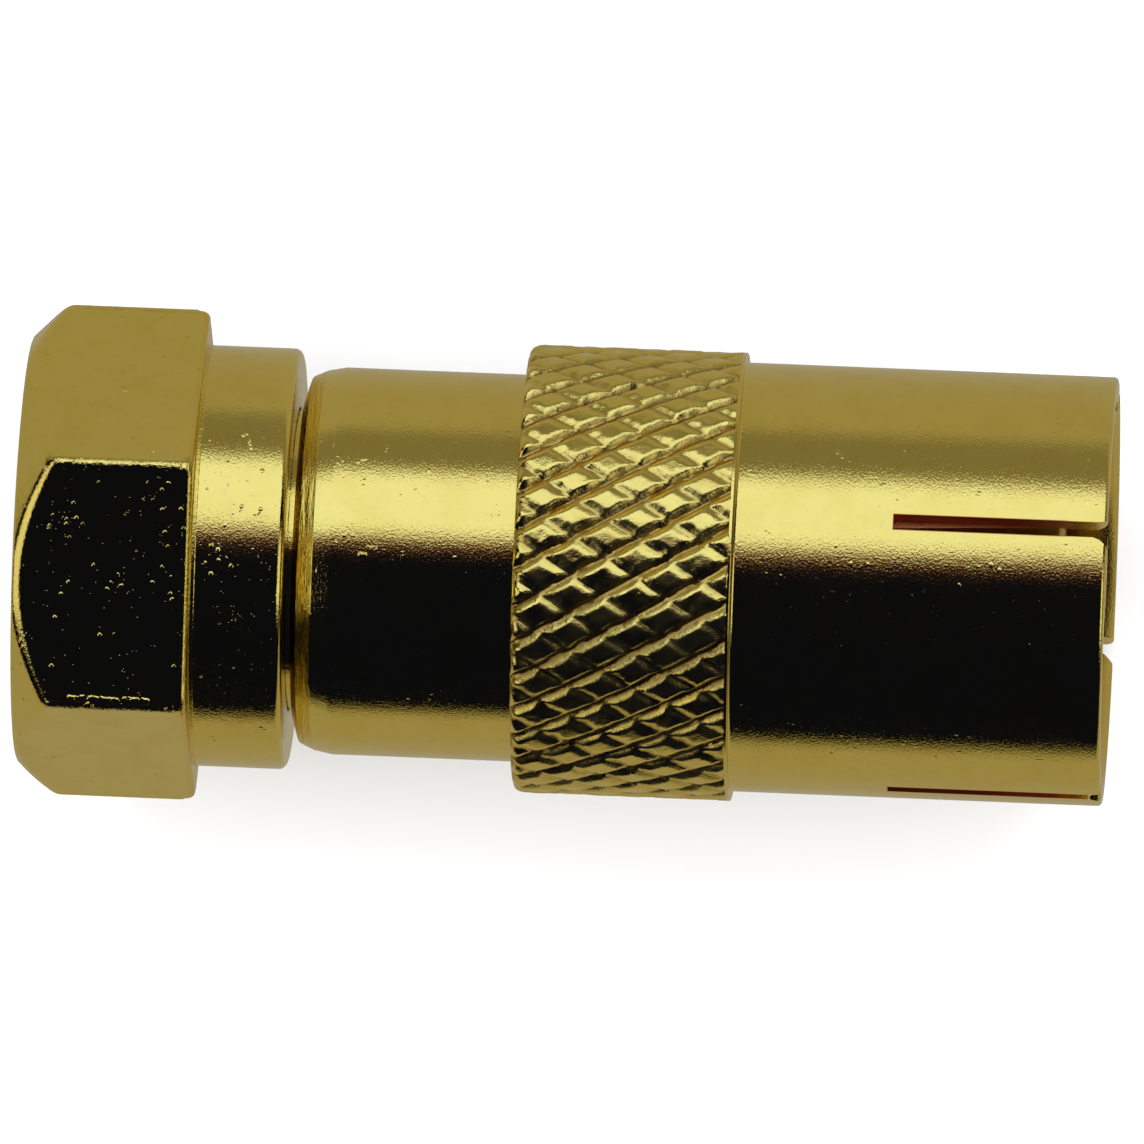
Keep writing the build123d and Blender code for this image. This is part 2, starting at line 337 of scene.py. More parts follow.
def gold_plating(name, peel=5.5, lay=0.5, pits=6.0, spots=(), coarse=None, corners=None, burrs=(),
                 roughness=0.06, tarnish=0.0, groove=False):
    """Thin bright gold over turned brass.

    peel is the height of the plating's fine orange peel and lay that of the turning marks, which run round
    the X axis. pits is the height of the small dents and blisters, which crowd in the given spots and are
    rare elsewhere. All three are in microns. coarse is the (x from, x to, height, stretch) of a belt that
    the tool left rough, with its marks drawn out round the axis where stretch is small; half its colour is a
    more saturated gold, a painted reflection of light bounced between gold faces. corners is the
    radius past which a hexagon's corners are dinted, and burrs are raised scratches along X, as (x from,
    x to, y). tarnish is the share of brown, and groove adds what only the knurled and slotted shell has,
    with painted shade: brown in the knurl's groove floors and red on the slots' walls and in the bore.
    """
    material, tree, shader = new_material(name)
    millimetres = tree.millimetres()
    parts = tree.split(millimetres)
    rings = tree.vector("MULTIPLY", millimetres, (1.0, 0.06, 0.06))
    fine = tree.noise(millimetres, 17.0, 2.0, 0.6)
    broad = tree.noise(millimetres, 1.6, 2.0)
    turned = tree.noise(rings, 22.0, 3.0, 0.7)
    height = peel * fine + 3.0 * broad + lay * turned + pits * dents(tree, millimetres, spots)

    stain = tree.step(tree.noise(millimetres, 0.9, 3.0), 0.42, 0.70)
    grime = tree.step(tree.noise(millimetres, 3.1, 5.0, 0.7), 0.5, 0.75)
    colour = tree.mix(0.45 * stain, OLIVE_GOLD, WARM_GOLD)
    colour = tree.mix(0.30 * grime, colour, GREY_GOLD)
    colour = tree.mix(tarnish, colour, TARNISH_AND_GROOVE_SHADE_BROWN)
    rough = roughness + 0.04 * turned + 0.03 * stain
    if corners:
        at_corner = tree.step(tree.from_axis(parts), corners - 0.12, corners - 0.02)
        height = height + 55.0 * at_corner * tree.noise(millimetres, 5.0, 3.0, 0.7)
    for burr in burrs:
        height = height + 22.0 * raised_scratch(tree, millimetres, parts, *burr)
    if coarse:
        first, last, torn, stretch = coarse
        belt = tree.between(parts["X"], first, last, 0.03)
        tool_marks = tree.vector("MULTIPLY", millimetres, (1.0, stretch, stretch))
        height = height + torn * belt * tree.noise(tool_marks, 10.0, 3.0, 0.7)
        rough = rough + 0.05 * belt
        # Painted reflection: the rough belts take a more saturated gold, like light bounced between gold
        # faces.
        colour = tree.mix(0.5 * belt, colour, BOUNCED_LIGHT_GOLD)
    if groove:
        depth = tree.attribute("groove")
        wires = {"X": tree.attribute("strand"), "Y": 0.05 * parts["X"]}
        wires = tree.node("ShaderNodeCombineXYZ", {}, wires)["Vector"]
        height = height + 16.0 * tree.attribute("cross") * tree.noise(wires, 9.0, 1.0)
        knurled = tree.step(parts["X"], GRIP_FRONT + 0.1, GRIP_FRONT + 0.3)
        knurled = knurled * tree.step(parts["X"], KNURL_END, KNURL_END - 0.02)
        knurled = knurled * tree.step(tree.noise(millimetres, 1.9, 2.0), 0.25, 0.6)
        height = height + (6.0 * knurled + 8.0 * depth) * tree.noise(millimetres, 9.0, 3.0, 0.7)
        # Painted shade: the knurl's groove floors turn brown the deeper they are cut.
        colour = tree.mix(0.8 * tree.step(depth, 0.25, 0.8), colour, TARNISH_AND_GROOVE_SHADE_BROWN)
        # Painted shade: the slots' walls and the bore turn red, less so near the mouth.
        inside = painted_slot_shade(tree, parts)
        colour = tree.mix(inside, colour, SLOT_SHADE_RED)
        rough = rough + 0.14 * knurled + 0.12 * depth + 0.30 * inside
    feed(tree, shader, Base_Color=colour, Metallic=1.0, Roughness=rough, Normal=tree.micron_bump(height))
    return material


def dents(tree, millimetres, spots):
    """Share of the full height of the small dents and blisters."""
    crowd = near_spots(tree, millimetres, spots)
    chance = tree.step(tree.noise(millimetres, 2.7, 0.0) + 0.28 * crowd, 0.66, 0.72)
    blister = 1 - tree.step(tree.cells(millimetres, 5.0), 0.12, 0.36)
    speck = 1 - tree.step(tree.cells(millimetres, 13.0), 0.05, 0.20)
    rare = tree.step(tree.noise(millimetres, 6.3, 0.0) + 0.12 * crowd, 0.66, 0.70)
    return blister * chance + 0.35 * speck * rare


def raised_scratch(tree, millimetres, parts, x_from, x_to, y):
    """Share of the full height of a wavy, broken ridge along X, on the piece's upper side."""
    bend = 0.16 * tree.noise(millimetres, 2.6, 3.0, 0.7)
    aside = abs(parts["Y"] - y - bend + 0.08)
    length = tree.between(parts["X"], x_from + 0.05, x_to - 0.05, 0.05)
    ridge = (1 - tree.step(aside, 0.01, 0.06)) * length * tree.step(parts["Z"], 4.2, 4.6)
    return ridge * tree.step(tree.noise(millimetres, 6.0, 1.0), 0.35, 0.55)


def painted_slot_shade(tree, parts):
    """Mask of the painted reddish shade: 1 on the slots' walls and in the bore, less near the mouth, and 0
    elsewhere.
    """
    aside = []
    for turn in (SLOT_ANGLE, SLOT_ANGLE + 90):
        across = parts["Z"] * cos(radians(turn)) - parts["Y"] * sin(radians(turn))
        aside.append(abs(across))
    nearest = tree.math("MINIMUM", *aside)
    in_slot = 1 - tree.step(nearest, SLOT_WIDTH / 2 + 0.005, SLOT_WIDTH / 2 + 0.03)
    past_start = tree.step(parts["X"], SLEEVE_END - SLOT_LENGTH - 0.02, SLEEVE_END - SLOT_LENGTH - 0.01)
    before_rim = 1 - 0.8 * tree.step(parts["X"], SLEEVE_END - 1.2, SLEEVE_END - 0.8)
    in_bore = 1 - tree.step(tree.from_axis(parts), SOCKET_BORE + 0.01, SOCKET_BORE + 0.03)
    return tree.math("MAXIMUM", in_slot * past_start, in_bore) * before_rim


def white_insulator(name):
    """Turned white plastic with faint tool rings and a slightly waxy surface."""
    material, tree, shader = new_material(name)
    millimetres = tree.millimetres()
    rings = tree.vector("MULTIPLY", millimetres, (1.0, 0.1, 0.1))
    turned = tree.noise(rings, 18.0, 2.0, 0.6)
    cloud = tree.noise(millimetres, 1.3, 3.0)
    colour = tree.mix(cloud, (0.86, 0.85, 0.80, 1.0), (0.78, 0.76, 0.69, 1.0))
    height = 2.5 * turned + 4.0 * cloud
    rough = 0.34 + 0.18 * turned
    feed(tree, shader, Base_Color=colour, Roughness=rough, Normal=tree.micron_bump(height))
    return material


def spring_bronze(name):
    """Stamped spring bronze with a fine rolled grain."""
    material, tree, shader = new_material(name)
    millimetres = tree.millimetres()
    grain = tree.noise(tree.vector("MULTIPLY", millimetres, (1.0, 0.2, 1.0)), 14.0, 3.0, 0.6)
    stain = tree.noise(millimetres, 1.1, 2.0)
    colour = tree.mix(stain, (0.60, 0.38, 0.20, 1.0), (0.46, 0.27, 0.13, 1.0))
    rough = 0.22 + 0.15 * grain
    feed(tree, shader, Base_Color=colour, Metallic=1.0, Roughness=rough, Normal=tree.micron_bump(3.0 * grain))
    return material


def table_top(name, colour):
    """Matt pale table top with a very faint mottle."""
    material, tree, shader = new_material(name)
    mottle = tree.noise(tree.millimetres(), 0.05, 2.0)
    darker = tuple(0.985 * part for part in colour)
    feed(tree, shader, Base_Color=tree.mix(mottle, (*colour, 1.0), (*darker, 1.0)), Roughness=0.9)
    shader.inputs["Specular IOR Level"].default_value = 0.0
    return material


def glowing(name, colour, strength):
    """Plain light-giving card."""
    material = bpy.data.materials.new(name)
    material.use_nodes = True
    material.node_tree.nodes.clear()
    tree = Tree(material.node_tree)
    glow = tree.node("ShaderNodeEmission", {}, {"Color": (*colour, 1.0), "Strength": strength})
    tree.node("ShaderNodeOutputMaterial", {}, {"Surface": glow[0]})
    return material


# ---------------------------------------------------------------- mesh making

def outline(*corners, steps=5):
    """Closed outline of (x, radius) corners. A corner's third number, where it has one, is its rounding."""
    points = []
    for i, corner in enumerate(corners):
        here = Vector(corner[:2])
        if len(corner) == 2:
            points.append(here)
            continue
        to_last = (Vector(corners[i - 1][:2]) - here).normalized()
        to_next = (Vector(corners[(i + 1) % len(corners)][:2]) - here).normalized()
        half = to_last.angle(to_next) / 2
        centre = here + (to_last + to_next).normalized() * corner[2] / sin(half)
        first = here + to_last * corner[2] / tan(half) - centre
        last = here + to_next * corner[2] / tan(half) - centre
        for step in range(steps + 1):
            points.append(centre + first.lerp(last, step / steps).normalized() * corner[2])
    return points


def solid(name, points, quads):
    """A closed mesh object from points in millimetres, with merged doubles and faces that point outwards."""
    mesh = bpy.data.meshes.new(name)
    mesh.from_pydata([tuple(p) for p in np.asarray(points) / METRE], [], quads)
    shape = bmesh.new()
    shape.from_mesh(mesh)
    bmesh.ops.remove_doubles(shape, verts=shape.verts, dist=5e-7)
    bmesh.ops.recalc_face_normals(shape, faces=shape.faces)
    shape.to_mesh(mesh)
    shape.free()
    soften(mesh, EDGE_ANGLE)
    piece = bpy.data.objects.new(name, mesh)
    bpy.context.scene.collection.objects.link(piece)
    return piece


def soften(mesh, edge_angle):
    """Smooth shading, except over edges that turn by more than this many degrees."""
    mesh.polygons.foreach_set("use_smooth", [True] * len(mesh.polygons))
    mesh.set_sharp_from_angle(angle=radians(edge_angle))
    mesh.update()


def ring_quads(rows, columns):
    """Quads of a grid of rows by columns that closes both round the axis and along the rows."""
    quads = []
    for row in range(rows):
        after = (row + 1) % rows
        for column in range(columns):
            beside = (column + 1) % columns
            quads.append((
                row * columns + column, row * columns + beside,
                after * columns + beside, after * columns + column,
            ))
    return quads


def revolve(name, loop, segments=SEGMENTS):
    """A closed outline turned about the X axis."""
    angles = np.arange(segments) * 2 * pi / segments
    points = [
        np.stack([np.full(segments, p.x), p.y * np.cos(angles), p.y * np.sin(angles)], axis=1)
        for p in loop
    ]
    return solid(name, np.concatenate(points), ring_quads(len(loop), segments))


def cut_slots(piece, sides, first_angle, reach):
    """Cuts four slots with two slabs that cross on the axis, from (x, one side, other side) along X."""
    count = 2 * len(sides)
    rim = [(x, one) for x, one, _ in sides] + [(x, -other) for x, _, other in reversed(sides)]
    walls = [(i, (i + 1) % count, count + (i + 1) % count, count + i) for i in range(count)]
    slab_faces = [tuple(range(count)), tuple(range(2 * count - 1, count - 1, -1))] + walls
    for turn in (0.0, 90.0):
        angle = radians(first_angle + turn)
        outward = Vector((0.0, cos(angle), sin(angle)))
        aside = Vector((0.0, -sin(angle), cos(angle)))
        corners = [
            Vector((x, 0, 0)) + outward * out + aside * side for out in (-reach, reach) for x, side in rim
        ]
        slab = solid("slab", corners, slab_faces)
        cut = piece.modifiers.new("slots", "BOOLEAN")
        cut.operation = "DIFFERENCE"
        cut.solver = "EXACT"
        cut.object = slab
        settle(piece)
        bpy.data.objects.remove(slab)


def settle(piece):
    """Turns a piece's modifiers into its plain mesh."""
    evaluated = piece.evaluated_get(bpy.context.evaluated_depsgraph_get())
    mesh = bpy.data.meshes.new_from_object(evaluated)
    piece.modifiers.clear()
    old = piece.data
    piece.data = mesh
    bpy.data.meshes.remove(old)
    mesh.name = piece.name


def dress(piece, material, body, slot, *nodes):
    """Gives a piece its material and body, and hides the CAD nodes that it stands for. The finish slot is not
    used.
    """
    piece.data.materials.clear()
    piece.data.materials.append(material)
    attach(piece, body)
    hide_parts(*nodes)


# ---------------------------------------------------------------- coupling nut

def soft_min(first, second, blend=EDGE_BLEND):
    """The smaller of two heights, rounded over where they meet."""
    nearness = np.maximum(blend - np.abs(first - second), 0) / blend
    return np.minimum(first, second) - nearness ** 2 * blend / 4


def hexagon_radius(angles):
    """Radius of the hexagon, with one flat facing up and its corners eased."""
    from_corner = pi / 6 - np.abs(angles % (pi / 3) - pi / 6)
    near = HALF_ACROSS_FLATS / np.cos(pi / 6 - from_corner)
    far = HALF_ACROSS_FLATS / np.cos(pi / 6 + from_corner)
    return soft_min(near, far)


def nut_outside(angles):
    """Rows of the nut's outside, lip and chamber, as (x, radii) pairs that start at the mouth."""
    mouth_radius = THREAD_MAJOR + MOUTH_CHAMFER
    tip = HALF_ACROSS_FLATS / cos(pi / 6)
    face = [(NUT_MOUTH, mouth_radius), (NUT_MOUTH, 5.1), (NUT_MOUTH, NOSE_RADIUS - 0.05)]
    nose = [
        (NUT_MOUTH + rise, NOSE_RADIUS + rise)
        for rise in np.linspace(0.03, NOSE_CHAMFER + 0.1, 32)
    ]
    flat_start = NUT_MOUTH + NOSE_CHAMFER + 0.15
    flat_end = HEX_BACK - HEX_BACK_ROUND - 0.02
    flats = [(x, tip + 0.2) for x in np.linspace(flat_start, flat_end, 10)]
    shoulder = [
        (HEX_BACK - HEX_BACK_ROUND * (1 - sin(turn)), tip - HEX_BACK_ROUND * (1 - cos(turn)))
        for turn in np.linspace(0.1, pi / 2, 9)
    ]
    back = [
        (HEX_BACK, radius)
        for radius in np.linspace(tip - HEX_BACK_ROUND - 0.03, COLLAR_RADIUS + 0.04, 9)
    ]
    collar = outline(
        (HEX_BACK, COLLAR_RADIUS + 0.04),
        (HEX_BACK, COLLAR_RADIUS, 0.03),
        (NUT_BACK, COLLAR_RADIUS, COLLAR_ROUND),
        (NUT_BACK, LIP_RADIUS, 0.04),
        (CHAMBER_BACK, LIP_RADIUS),
        (CHAMBER_BACK, CHAMBER_RADIUS),
        (CHAMBER_FRONT, CHAMBER_RADIUS),
        steps=7,
    )
    hexagon = hexagon_radius(angles)
    rows = []
    for x, radius in nose + flats + shoulder + back:
        radii = soft_min(hexagon, radius)
        nearness = np.clip(1 - (hexagon - radii) / HEX_BACK_EDGE, 0, 1)
        rows.append((np.minimum(x, HEX_BACK - HEX_BACK_EDGE * nearness ** 2), radii))
    return face + rows + [tuple(point) for point in collar[1:]]


def thread_radius(x, angles):
    """Radius of the inside thread: flat crests and roots, with 60 degree flanks between them."""
    phase = ((x - NUT_MOUTH) / THREAD_PITCH - angles / (2 * pi)) % 1.0
    past_root = np.abs(phase - 0.5) * THREAD_PITCH - THREAD_PITCH / 8
    return THREAD_MAJOR - np.clip(past_root / tan(radians(30)), 0, THREAD_DEPTH)


def thread_marks():
    """Places of the rows along the thread, in pitches, from the chamber to the mouth.

    Each turn has a row at both edges of its root and crest, and one on the middle of each flank.
    """
    flank = THREAD_DEPTH * tan(radians(30)) / THREAD_PITCH
    near = [0.375 - flank, 0.375 - flank / 2, 0.375]
    turn_marks = near + [1 - mark for mark in reversed(near)]
    last_turn = int((CHAMBER_FRONT - NUT_MOUTH) / THREAD_PITCH) + 2
    marks = [turn + mark for turn in range(-2, last_turn) for mark in turn_marks]
    return marks[::-1], len(turn_marks)


def make_nut(material):
    """The hexagonal coupling nut, with its helical thread, in one closed skin."""
    even = np.arange(NUT_COLUMNS) * 2 * pi / NUT_COLUMNS
    angles = even - CORNER_CROWDING * np.sin(6 * even) / 6
    rows = nut_outside(angles)
    outside_rows = len(rows)
    marks, marks_per_turn = thread_marks()
    for mark in marks:
        x = NUT_MOUTH + THREAD_PITCH * (mark + angles / (2 * pi))
        x = np.clip(x, NUT_MOUTH, CHAMBER_FRONT)
        mouth_cone = THREAD_MAJOR + MOUTH_CHAMFER - (x - NUT_MOUTH)
        rows.append((x, np.maximum(thread_radius(x, angles), mouth_cone)))
    points = np.concatenate([
        np.stack([x + 0 * angles, radii * np.cos(angles), radii * np.sin(angles)], axis=1)
        for x, radii in rows
    ])
    quads = []
    last = NUT_COLUMNS - 1
    for row in range(len(rows) - 1):
        here, after = row * NUT_COLUMNS, (row + 1) * NUT_COLUMNS
        for column in range(last):
            quads.append((here + column, here + column + 1, after + column + 1, after + column))
        beside, beside_after = row, row + 1
        if row >= outside_rows:
            beside = max(row - marks_per_turn, outside_rows)
            beside_after = max(row + 1 - marks_per_turn, outside_rows)
        quads.append((here + last, beside * NUT_COLUMNS, beside_after * NUT_COLUMNS, after + last))
    nut = solid("nut", points, quads)
    dress(nut, material, "nut", "gold_plating", "coupling_nut")


# ---------------------------------------------------------------- front body and rear shell

def make_front_body(material):
    """Neck with its ring groove, rounded shoulder, barrel and the tail inside the rear shell."""
    groove_front, groove_back, groove_radius = NECK_GROOVE
    loop = outline(
        (0, NECK_BORE, 0.05),
        (0, NECK_RADIUS, 0.12),
        (groove_front, NECK_RADIUS, 0.03),
        (groove_front, groove_radius),
        (groove_back, groove_radius),
        (groove_back, NECK_RADIUS, 0.03),
        (SHOULDER, NECK_RADIUS),
        (SHOULDER, 4.16, 0.06),
        (SHOULDER + 0.16, 4.66, 0.1),
        (SHOULDER_CREASE, BARREL_RADIUS - 0.09, 0.02),
        (SHOULDER + 1.0, BARREL_RADIUS, 0.5),
        (TAIL_END, BARREL_RADIUS, 0.15),
        (TAIL_END, CAVITY_RADIUS),
        (CAVITY_FRONT, CAVITY_RADIUS),
        (CAVITY_FRONT, NECK_BORE),
        steps=8,
    )
    body = revolve("barrel", loop)
    dress(body, material, "shell", "gold_plating", "front_body")


def knurl_tree(material):
    """Geometry nodes that turn the grip band's rows to the knurl's lead and cut its two sets of grooves.

    Along one set, the mesh's own columns follow the grooves, so their edges stay crisp. The other set
    crosses them. The share of the full depth, the count across the second set and the second set's own
    depth are kept as attributes.
    """
    group = bpy.data.node_groups.new("diamond_knurl", "GeometryNodeTree")
    group.interface.new_socket("Geometry", in_out="INPUT", socket_type="NodeSocketGeometry")
    inputs = {
        "Start": GRIP_FRONT / METRE, "Length": (GRIP_LENGTH - GRIP_RIM) / METRE,
        "Radius": GRIP_RADIUS / METRE, "Starts": KNURL_STARTS, "Lead": radians(KNURL_LEAD),
        "Phase": KNURL_PHASE, "Cross phase": KNURL_CROSS_PHASE,
        "Deep": KNURL_DEEP / METRE, "Deep width": KNURL_DEEP_WIDTH,
        "Shallow": KNURL_SHALLOW / METRE, "Shallow width": KNURL_SHALLOW_WIDTH, "Seed": 3.0,
    }
    names = {}
    for name in inputs:
        socket = group.interface.new_socket(name, in_out="INPUT", socket_type="NodeSocketFloat")
        names[name] = socket.identifier
    group.interface.new_socket("Geometry", in_out="OUTPUT", socket_type="NodeSocketGeometry")
    tree = Tree(group)
    given = tree.node("NodeGroupInput")
    position = tree.node("GeometryNodeInputPosition")["Position"]
    parts = tree.split(position)
    x, y, z = parts["X"], parts["Y"], parts["Z"]
    radius = tree.from_axis(parts)
    turn = tree.math("ARCTAN2", z, y)

    before_end = given["Length"] - tree.limit(x - given["Start"], 0.0, given["Length"])
    twist = before_end * tree.math("TANGENT", given["Lead"]) / given["Radius"]
    pitches = given["Starts"] / (2 * pi)
    deep_count = turn * pitches + given["Phase"]
    shallow_count = deep_count + 2 * twist * pitches + given["Cross phase"]

    def sway(seed, scale, detail):
        """Noise about zero."""
        inputs = {"Vector": position, "W": seed, "Scale": scale, "Detail": detail}
        return tree.node("ShaderNodeTexNoise", {"noise_dimensions": "4D"}, inputs)["Fac"] - 0.5

    wander = sway(given["Seed"], 2600.0, 3.0)
    drift = sway(given["Seed"] + 5.0, 700.0, 1.0)

    def groove(count, depth, width):
        """Depth of a groove with rolled-over shoulders, of this width in pitches, at each half count."""
        aside = abs(count % 1.0 - 0.5) * 2
        return depth * tree.limit(1 - aside / width, 0.0, 1.0) ** 1.25

    deep = groove(deep_count + 0.10 * wander, given["Deep"], given["Deep width"])
    swaying_count = shallow_count + (0.2 * wander + 0.12 * drift)
    shallow = groove(swaying_count, given["Shallow"], given["Shallow width"])
    shallow = shallow * (1 + 1.2 * drift)
    cut = tree.math("SMOOTH_MAX", deep, shallow, 0.00002) + 0.00005 * wander
    on_band = tree.step(radius, given["Radius"] - 0.0003, given["Radius"] - 0.00005)
    on_band = on_band * tree.math("LESS_THAN", x, given["Start"] + given["Length"] + 0.000005)
    cut = tree.math("MAXIMUM", cut, 0.0) * on_band
    keep = 1 - cut / radius
    lowered = tree.node("ShaderNodeCombineXYZ", {}, {"X": x, "Y": y * keep, "Z": z * keep})["Vector"]
    turned = tree.node(
        "ShaderNodeVectorRotate", {"rotation_type": "X_AXIS"}, {"Vector": lowered, "Angle": twist}
    )["Vector"]

    kept = {
        "groove": cut / given["Deep"],
        "strand": shallow_count * on_band,
        "cross": on_band * shallow / given["Shallow"],
    }
    marked = given["Geometry"]
    for name, value in kept.items():
        marked = tree.node(
            "GeometryNodeStoreNamedAttribute", {"data_type": "FLOAT", "domain": "POINT"},
            {"Geometry": marked, "Name": name, "Value": value},
        )["Geometry"]
    moved = tree.node("GeometryNodeSetPosition", {}, {"Geometry": marked, "Position": turned})["Geometry"]
    real = tree.node("GeometryNodeRealizeInstances", {}, {"Geometry": moved})["Geometry"]
    faced = tree.node("GeometryNodeSetMaterial", {}, {"Geometry": real, "Material": material})["Geometry"]
    tree.node("NodeGroupOutput", {}, {"Geometry": faced})
    return group, {names[name]: value for name, value in inputs.items()}


def make_rear_shell(material):
    """Knurled grip band, web and slotted socket sleeve, in one closed skin."""
    band_end = GRIP_FRONT + GRIP_LENGTH
    row_step = pi * GRIP_RADIUS / (KNURL_STARTS * KNURL_SAMPLES * tan(radians(KNURL_LEAD)))
    rows = round((GRIP_LENGTH - GRIP_RIM - GRIP_FRONT_ROUND) / row_step)
    first = GRIP_FRONT + GRIP_FRONT_ROUND
    band = [Vector((x, GRIP_RADIUS)) for x in np.linspace(first, band_end - GRIP_RIM, rows)]
    front = outline(
        (GRIP_FRONT, BARREL_RADIUS),
        (GRIP_FRONT, GRIP_RADIUS, GRIP_FRONT_ROUND),
        (band_end, GRIP_RADIUS),
        steps=6,
    )
    rest = outline(
        (GRIP_FRONT, GRIP_RADIUS),
        (band_end - GRIP_RIM + 0.01, GRIP_RADIUS),
        (band_end, GRIP_RADIUS, 0.03),
        (band_end, SLEEVE_RADIUS, 0.09),
        (SLEEVE_END, SLEEVE_RADIUS, 0.1),
        (SLEEVE_END, MOUTH_BORE + 0.25, 0.04),
        (SLEEVE_END - 0.25, MOUTH_BORE, 0.05),
        (SLEEVE_END - MOUTH_LIP, MOUTH_BORE, 0.1),
        (SLEEVE_END - MOUTH_LIP - 0.15, SOCKET_BORE),
        (WEB_END, SOCKET_BORE, 0.1),
        (WEB_END, WEB_BORE),
        (WEB_FRONT, WEB_BORE),
        (WEB_FRONT, BARREL_RADIUS),
        steps=3,
    )
    loop = front[:-2] + band + rest[1:]
    shell = revolve("socket_shell", loop, KNURL_STARTS * KNURL_SAMPLES)
    half = SLOT_WIDTH / 2
    slot = [
        (SLEEVE_END - SLOT_LENGTH, half, half),
        (SLEEVE_END - SLOT_FLARE, half, half),
        (SLEEVE_END - 0.55 * SLOT_FLARE, half + 0.06, half + 0.005),
        (SLEEVE_END - 0.2 * SLOT_FLARE, half + 0.16, half + 0.03),
        (SLEEVE_END + 0.02, half + 0.26, half + 0.09),
    ]
    cut_slots(shell, slot, SLOT_ANGLE, SLEEVE_RADIUS + 1)
    group, inputs = knurl_tree(material)
    knurl = shell.modifiers.new("knurl", "NODES")
    knurl.node_group = group
    for identifier, value in inputs.items():
        knurl[identifier] = value
    settle(shell)
    soften(shell.data, KNURL_EDGE_ANGLE)
    dress(shell, material, "shell", "gold_plating", "rear_shell")


# ---------------------------------------------------------------- inside pieces

def make_pin(material):
    """Centre pin with its rounded point, and the thicker shank in the insulator."""
    loop = outline(
        (PIN_TIP, 0),
        (PIN_TIP, 0.2, 0.15),
        (PIN_TIP + 0.45, PIN_RADIUS, 0.3),
        (NECK_SEAT, PIN_RADIUS),
        (NECK_SEAT, PIN_SHANK_RADIUS),
        (PLUG_INSULATOR_END, PIN_SHANK_RADIUS),
        (PLUG_INSULATOR_END, PIN_TAIL_RADIUS),
        (PIN_TAIL_END, PIN_TAIL_RADIUS, 0.1),
        (PIN_TAIL_END, 0),
    )
    pin = revolve("pin", loop, 96)
    dress(pin, material, "shell", "contact_gold", "centre_pin")


def make_contact(material):
    """Socket contact: boss, collar and a long tube with four spring fingers."""
    collar_front, collar_back, collar_radius = CONTACT_COLLAR
    loop = outline(
        (PLUG_INSULATOR_END, PIN_TAIL_RADIUS),
        (PLUG_INSULATOR_END, BOSS_RADIUS, 0.05),
        (collar_front, BOSS_RADIUS),
        (collar_front, collar_radius, 0.05),
        (collar_back, collar_radius, 0.05),
        (collar_back, CONTACT_RADIUS),
        (CONTACT_END, CONTACT_RADIUS, 0.15),
        (CONTACT_END, CONTACT_BORE + 0.15, 0.12),
        (CONTACT_END - 0.2, CONTACT_BORE, 0.2),
        (CONTACT_BORE_START, CONTACT_BORE, 0.2),
        (CONTACT_BORE_START, 0),
        (BOSS_HOLE_END, 0),
        (BOSS_HOLE_END, PIN_TAIL_RADIUS),
    )
    contact = revolve("contact", loop, 128)
    half = CONTACT_SLOT_WIDTH / 2
    slot = [(CONTACT_END - CONTACT_SLOT_LENGTH, half, half), (CONTACT_END + 1, half, half)]
    cut_slots(contact, slot, 0.0, CONTACT_RADIUS + 1)
    soften(contact.data, EDGE_ANGLE)
    dress(contact, material, "shell", "contact_gold", "socket_contact")


def make_insulators(material):
    """The two white insulators that hold the pin and the contact."""
    front = outline(
        (NECK_SEAT, PIN_SHANK_RADIUS, 0.05),
        (NECK_SEAT, NECK_BORE, 0.1),
        (CAVITY_FRONT, NECK_BORE),
        (CAVITY_FRONT, CAVITY_RADIUS),
        (PLUG_INSULATOR_END, CAVITY_RADIUS, 0.1),
        (PLUG_INSULATOR_END, PIN_SHANK_RADIUS),
    )
    collar_front, collar_back, collar_radius = CONTACT_COLLAR
    rear = outline(
        (collar_front, collar_radius),
        (collar_front, CAVITY_RADIUS, 0.1),
        (TAIL_END, CAVITY_RADIUS),
        (TAIL_END, REAR_RIM_RADIUS),
        (WEB_FRONT, REAR_RIM_RADIUS),
        (WEB_FRONT, WEB_BORE),
        (WEB_END, WEB_BORE),
        (WEB_END, SPIGOT_RADIUS, 0.1),
        (SPIGOT_END, SPIGOT_RADIUS, 0.2),
        (SPIGOT_END, CONTACT_RADIUS, 0.05),
        (collar_back, CONTACT_RADIUS),
        (collar_back, collar_radius),
    )
    plug_side = revolve("plug_insulator", front, 128)
    dress(plug_side, material, "shell", "white_insulator", "front_insulator")
    socket_side = revolve("socket_insulator", rear, 192)
    dress(socket_side, material, "shell", "white_insulator", "rear_insulator")


# ---------------------------------------------------------------- table, lights and camera

CENTRE = Vector((0.009, 0.0, 0.0))
FLOOR_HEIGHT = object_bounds()[0][2]


def disc(name, radius, height, material):
    """Flat round sheet, part of the stage."""
    bpy.ops.mesh.primitive_circle_add(vertices=96, radius=radius, fill_type="NGON", location=(0, 0, 0))
    sheet = bpy.context.object
    sheet.name = name
    sheet.location = (CENTRE.x, 0, height)
    sheet.data.materials.append(material)
    return sheet


def toward(azimuth, elevation):
    """Unit vector from the adapter: azimuth 0 is +X and 90 is +Y, and elevation is above the table."""
    a, e = radians(azimuth), radians(elevation)
    return Vector((cos(e) * cos(a), cos(e) * sin(a), sin(e)))


